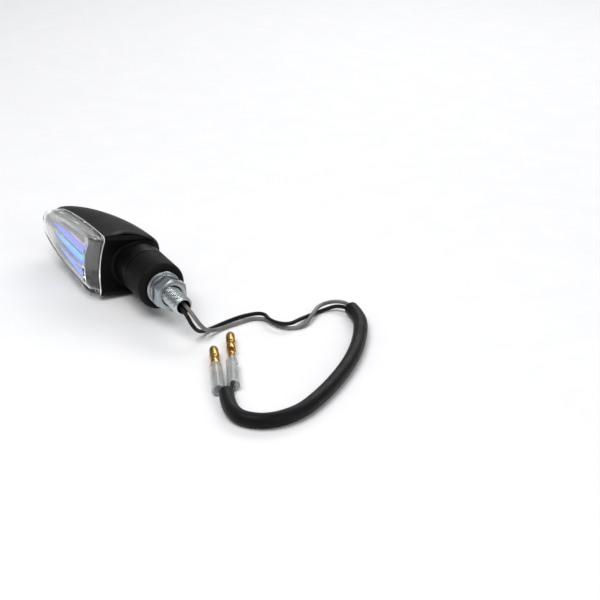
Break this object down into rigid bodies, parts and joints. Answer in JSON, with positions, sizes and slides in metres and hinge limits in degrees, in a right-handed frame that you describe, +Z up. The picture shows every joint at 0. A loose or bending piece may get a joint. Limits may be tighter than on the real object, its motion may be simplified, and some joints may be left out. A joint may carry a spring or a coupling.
{
  "type": "turn signal indicator",
  "caption": "Arrowhead lamp head with a clear lens over blue coated bars, on a flexible rubber stem with a hollow threaded stud, nut, washers and a sleeved lead ending in bullet terminals.",
  "frame": {"origin": "on the threaded stud's axis at the seat, where the rubber stem's end face meets the bracket", "axes": "+X out along the stud, away from the lamp head; the lens faces -Y; +Z is up as the part lies on a flat surface"},
  "size_m": [0.2025, 0.0983, 0.0296],
  "materials": {
    "housing_black": "fine satin moulding, solid black",
    "lens_clear": "polished clear polycarbonate",
    "gasket_rubber": "matt black",
    "zinc_steel": "bright zinc plated, machined",
    "bezel_silver": "vacuum metallised silver",
    "filter_blue": "dichroic blue film over prism ribs",
    "reflector_silver": "vacuum metallised mirror silver",
    "holder_black": "satin moulding",
    "contact_brass": "spring brass",
    "bulb_glass": "clear",
    "filament": "dull tungsten",
    "stem_rubber": "matt black moulded rubber",
    "wire_grey": "satin grey insulation",
    "wire_black": "satin black insulation",
    "sleeve_black": "soft satin black sleeving",
    "bullet_brass": "bright yellow brass",
    "insulator_clear": "soft clear, slightly milky"
  },
  "bodies": {
    "stud_side": {"threaded_stud": "zinc_steel", "rubber_stem": "stem_rubber", "grey_lead_in_stud": "wire_grey", "black_lead_in_stud": "wire_black", "grey_wire": "wire_grey", "black_wire": "wire_black", "cable_sleeve": "sleeve_black", "grey_tail": "wire_grey", "black_tail": "wire_black", "grey_bullet": "bullet_brass", "black_bullet": "bullet_brass"},
    "lamp_head": {"housing": "housing_black", "lens": "lens_clear", "lens_gasket": "gasket_rubber", "lens_screw": "zinc_steel", "bezel": "bezel_silver", "dichroic_filter": "filter_blue", "reflector_pan": "reflector_silver", "bulb_holder": "holder_black", "live_contact": "contact_brass", "earth_contact": "contact_brass", "bulb_glass": "bulb_glass", "bulb_wedge": "bulb_glass", "bulb_filament": "filament", "stem_insert": "zinc_steel", "retaining_washer": "zinc_steel", "retaining_nut": "zinc_steel", "grey_lead_in_head": "wire_grey", "black_lead_in_head": "wire_black"},
    "nut": {"hex_nut": "zinc_steel"},
    "nut_carrier": {"lock_washer": "zinc_steel"},
    "flat_washer_body": {"flat_washer": "zinc_steel"},
    "grey_insulator_body": {"grey_insulator": "insulator_clear"},
    "black_insulator_body": {"black_insulator": "insulator_clear"}
  },
  "joints": [
    {"name": "stem_flex", "type": "hinge", "parent": "stud_side", "child": "lamp_head", "pos_m": [-0.00825, 0, 0], "axis": [0, 0, 1], "range_deg": [-18, 18], "stiffness_Nm_per_rad": 0.9, "deforming": ["rubber_stem"]},
    {"name": "nut_travel", "type": "slide", "parent": "stud_side", "child": "nut_carrier", "axis": [1, 0, 0], "range_m": [0, 0.011]},
    {"name": "nut_spin", "type": "hinge", "parent": "nut_carrier", "child": "nut", "pos_m": [0.007, 0, 0], "axis": [1, 0, 0], "range_deg": [0, 3168]},
    {"name": "flat_washer_slide", "type": "slide", "parent": "stud_side", "child": "flat_washer_body", "axis": [1, 0, 0], "range_m": [0, 0.0055]},
    {"name": "grey_insulator_slide", "type": "slide", "parent": "stud_side", "child": "grey_insulator_body", "axis": [-0.9308, 0.3655, 0], "range_m": [0, 0.014]},
    {"name": "black_insulator_slide", "type": "slide", "parent": "stud_side", "child": "black_insulator_body", "axis": [-0.9176, 0.3975, 0], "range_m": [0, 0.02]}
  ],
  "couplings": [
    {"joint": "nut_spin", "follows": "nut_travel", "rad_per_m": 5026.5},
    {"joint": "flat_washer_slide", "follows": "nut_travel", "ratio": 0.5}
  ]
}
